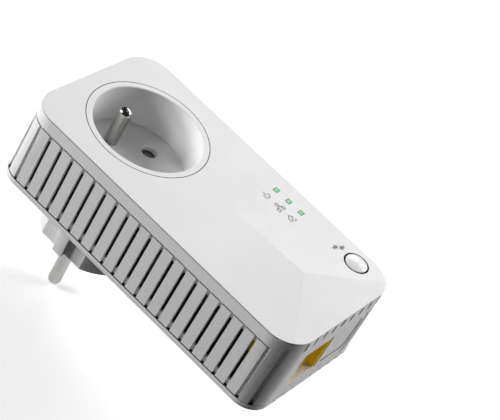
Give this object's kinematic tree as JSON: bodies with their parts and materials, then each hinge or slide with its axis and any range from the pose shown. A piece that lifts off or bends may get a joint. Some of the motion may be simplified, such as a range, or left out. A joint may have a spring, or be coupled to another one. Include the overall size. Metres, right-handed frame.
{
  "type": "powerline adapter",
  "caption": "Pass-through mains powerline network adapter with a wall plug, a shuttered socket, a network port, indicator lights and a pairing button.",
  "frame": {"origin": "midpoint between the two plug pins on the plug's face, the face that bears on the wall socket", "axes": "+Z away from the wall through the socket, +Y from the network port end to the socket end, +X to the right seen from the front with the socket at the top"},
  "size_m": [0.0604, 0.1182, 0.0723],
  "materials": {
    "white_shell": "satin moulded plastic",
    "grey_shell": "satin moulded plastic",
    "button_white": "semi-gloss moulded plastic",
    "label": "matt printed label film",
    "nickel_pin": "nickel plated brass",
    "nickel_strip": "nickel plated spring strip",
    "spring_steel": "spring wire",
    "brass_strip": "bare stamped brass",
    "dark_plastic": "moulded plastic",
    "shutter_grey": "satin moulded plastic",
    "board_laminate": "solder mask over glass laminate",
    "port_plastic": "yellow moulded plastic",
    "gold_contacts": "gold plated",
    "ferrite": "sintered ferrite",
    "tape": "polyester tape",
    "capacitor_sleeve": "shrink sleeve",
    "copper_wire": "enamelled copper wire",
    "capacitor_case": "moulded case",
    "fuse_body": "glass tube with metal caps",
    "varistor_coat": "epoxy coat",
    "chip_epoxy": "moulded epoxy",
    "sink_aluminium": "extruded aluminium",
    "led_lens": "cast resin",
    "light_pipe": "green tinted clear plastic",
    "zinc_screw": "zinc plated"
  },
  "bodies": {
    "adapter": {"front_cover": "white_shell", "side_housing": "grey_shell", "back_cover": "grey_shell", "port_panel": "white_shell", "plug_body": "grey_shell", "rating_label": "label", "socket_well": "white_shell", "socket_earth_pin": "nickel_pin", "shutter_spring": "spring_steel", "contact_carrier": "dark_plastic", "live_terminal": "brass_strip", "neutral_terminal": "brass_strip", "live_pin": "nickel_pin", "neutral_pin": "nickel_pin", "earth_bridge": "brass_strip", "earth_clip_upper": "nickel_strip", "earth_clip_lower": "nickel_strip", "main_board": "board_laminate", "indicator_board": "board_laminate", "rj45_jack": "port_plastic", "rj45_contacts": "gold_contacts", "transformer_core": "ferrite", "transformer_bobbin": "dark_plastic", "transformer_winding": "tape", "bulk_capacitors": "capacitor_sleeve", "choke_core": "ferrite", "choke_windings": "copper_wire", "suppressor_capacitor": "capacitor_case", "fuse": "fuse_body", "varistor": "varistor_coat", "coupling_transformer": "ferrite", "modem_chip": "chip_epoxy", "memory_chip": "chip_epoxy", "lan_magnetics": "chip_epoxy", "heat_sink": "sink_aluminium", "board_header": "dark_plastic", "header_pins": "gold_contacts", "leds": "led_lens", "light_pipe": "light_pipe", "switch_body": "dark_plastic", "case_screws": "zinc_screw", "board_screws": "zinc_screw"},
    "pair_button": {"pair_button": "button_white"},
    "switch_plunger": {"switch_plunger": "dark_plastic"},
    "socket_shutter": {"socket_shutter": "shutter_grey"}
  },
  "joints": [
    {"name": "pair_button_press", "type": "slide", "parent": "adapter", "child": "pair_button", "axis": [0, 0, -1], "range_m": [0, 0.0005], "stiffness_N_per_m": 2000, "springref_m": -0.0002},
    {"name": "switch_plunger_press", "type": "slide", "parent": "adapter", "child": "switch_plunger", "axis": [0, 0, -1], "range_m": [0, 0.0005]},
    {"name": "shutter_slide", "type": "slide", "parent": "adapter", "child": "socket_shutter", "axis": [0, -1, 0], "range_m": [0, 0.0062], "stiffness_N_per_m": 150, "springref_m": -0.004, "deforming": ["shutter_spring"]}
  ],
  "couplings": [
    {"joint": "switch_plunger_press", "follows": "pair_button_press", "ratio": 1}
  ]
}
